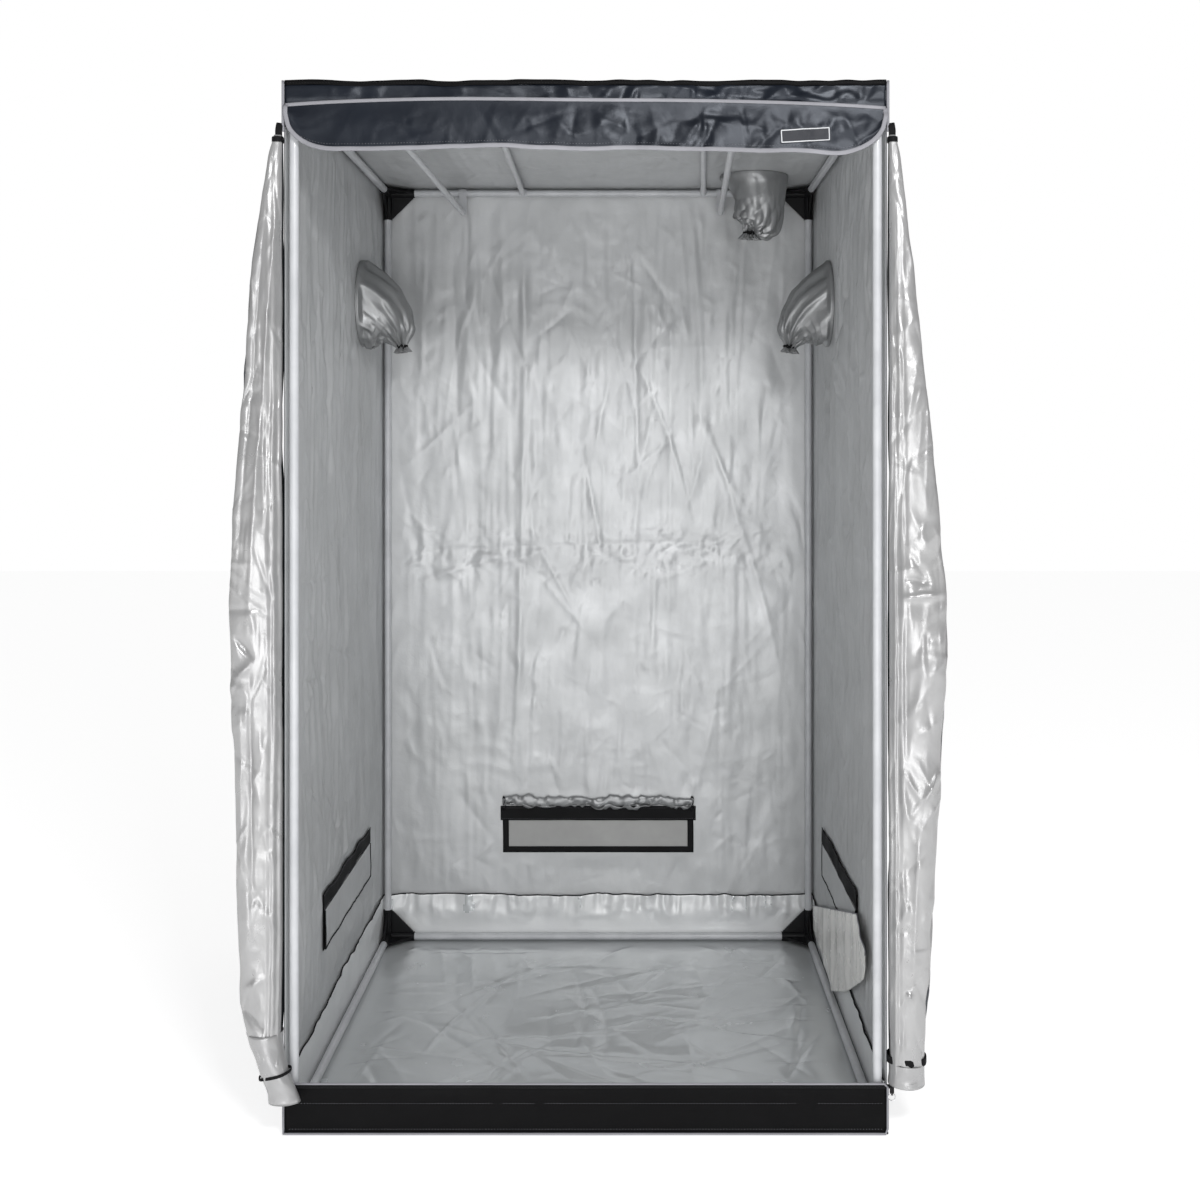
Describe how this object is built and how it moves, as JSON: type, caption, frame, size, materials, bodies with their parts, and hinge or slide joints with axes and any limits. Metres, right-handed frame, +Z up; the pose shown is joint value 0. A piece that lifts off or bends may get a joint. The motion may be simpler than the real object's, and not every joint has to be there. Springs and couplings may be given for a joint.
{
  "type": "equipment enclosure tent",
  "caption": "Tall box-shaped fabric tent on a tube frame, lined with silver film, with a tied-back front door, duct ports, low mesh vents and hanging bars under the roof.",
  "frame": {"origin": "centre of the tent's square footprint, on the surface it stands on", "axes": "+Z up, +X to the tent's right seen from the front, -Y out of the front doorway"},
  "size_m": [1.452, 1.2742, 2.136],
  "materials": {
    "outer_cloth": "dark woven cloth outside, silver film inside",
    "silver_film": "crinkled metallised film, satin to glossy",
    "tray_film": "glossy metallised waterproof film",
    "sill_cloth": "near-black coated cloth",
    "white_tube": "white powder coat",
    "black_plastic": "moulded black plastic",
    "black_webbing": "woven black webbing",
    "patch_cloth": "dark woven patch with a pale border",
    "screen_mesh": "fine grey insect mesh",
    "pocket_film": "milky translucent film",
    "bright_wire": "plated steel wire"
  },
  "bodies": {
    "tent": {"floor_panel": "outer_cloth", "back_panel": "outer_cloth", "left_panel": "outer_cloth", "right_panel": "outer_cloth", "roof_panel": "outer_cloth", "front_header": "outer_cloth", "front_sill": "sill_cloth", "floor_tray": "tray_film", "post_front_left": "white_tube", "top_corner_front_left": "black_plastic", "bottom_corner_front_left": "black_plastic", "post_front_right": "white_tube", "top_corner_front_right": "black_plastic", "bottom_corner_front_right": "black_plastic", "post_back_left": "white_tube", "top_corner_back_left": "black_plastic", "bottom_corner_back_left": "black_plastic", "post_back_right": "white_tube", "top_corner_back_right": "black_plastic", "bottom_corner_back_right": "black_plastic", "top_tube_front": "white_tube", "bottom_tube_front": "white_tube", "top_tube_back": "white_tube", "bottom_tube_back": "white_tube", "top_tube_left": "white_tube", "bottom_tube_left": "white_tube", "top_tube_right": "white_tube", "bottom_tube_right": "white_tube", "door_foot_left": "silver_film", "foot_strap_left": "black_webbing", "door_foot_right": "silver_film", "foot_strap_right": "black_webbing", "sill_zip": "black_plastic", "port_collar_left": "black_webbing", "duct_sock_left": "silver_film", "port_collar_right": "black_webbing", "duct_sock_right": "silver_film", "port_collar_roof": "black_webbing", "duct_sock_roof": "silver_film", "sock_drawcords": "black_webbing", "vent_screens": "screen_mesh", "vent_frame_back": "black_webbing", "vent_flap_back": "silver_film", "vent_frame_left": "black_webbing", "vent_frame_right": "black_webbing", "vent_flap_right": "silver_film", "accessory_pocket": "pocket_film"},
    "valance": {"valance_flap": "outer_cloth", "label_patch": "patch_cloth"},
    "hanging_bar_1": {"hanging_bar_1": "white_tube"},
    "hanging_bar_2": {"hanging_bar_2": "white_tube"},
    "hanging_bar_3": {"hanging_bar_3": "white_tube"},
    "hanging_bar_4": {"hanging_bar_4": "white_tube"},
    "door_left": {"door_left": "silver_film", "top_strap_left": "black_webbing"},
    "door_right": {"door_right": "silver_film", "top_strap_right": "black_webbing"},
    "vent_flap_left": {"vent_flap_left": "silver_film"},
    "zip_slider": {"zip_slider": "black_plastic"},
    "zip_pull": {"zip_pull": "bright_wire"}
  },
  "joints": [
    {"name": "valance_lift", "type": "hinge", "parent": "tent", "child": "valance", "pos_m": [0, -0.612, 2.085], "axis": [-1, 0, 0], "range_deg": [0, 165]},
    {"name": "bar_1_slide", "type": "slide", "parent": "tent", "child": "hanging_bar_1", "axis": [1, 0, 0], "range_m": [-0.08, 0.06]},
    {"name": "bar_2_slide", "type": "slide", "parent": "tent", "child": "hanging_bar_2", "axis": [1, 0, 0], "range_m": [-0.08, 0.28]},
    {"name": "bar_3_slide", "type": "slide", "parent": "tent", "child": "hanging_bar_3", "axis": [1, 0, 0], "range_m": [-0.12, 0.02]},
    {"name": "bar_4_slide", "type": "slide", "parent": "tent", "child": "hanging_bar_4", "axis": [1, 0, 0], "range_m": [-0.02, 0.004]},
    {"name": "door_left_swing", "type": "hinge", "parent": "tent", "child": "door_left", "pos_m": [-0.61, -0.612, 1.1], "axis": [0, 0, 1], "range_deg": [0, 70]},
    {"name": "door_right_swing", "type": "hinge", "parent": "tent", "child": "door_right", "pos_m": [0.61, -0.612, 1.1], "axis": [0, 0, -1], "range_deg": [0, 70]},
    {"name": "vent_flap_lift", "type": "hinge", "parent": "tent", "child": "vent_flap_left", "pos_m": [-0.6015, 0.06, 0.342], "axis": [0, -1, 0], "range_deg": [0, 170]},
    {"name": "zip_slide", "type": "slide", "parent": "tent", "child": "zip_slider", "axis": [-1, 0, 0], "range_m": [0, 1.16]},
    {"name": "zip_pull_swing", "type": "hinge", "parent": "zip_slider", "child": "zip_pull", "pos_m": [0.619, -0.6146, 0.0864], "axis": [-1, 0, 0], "range_deg": [0, 110]}
  ]
}
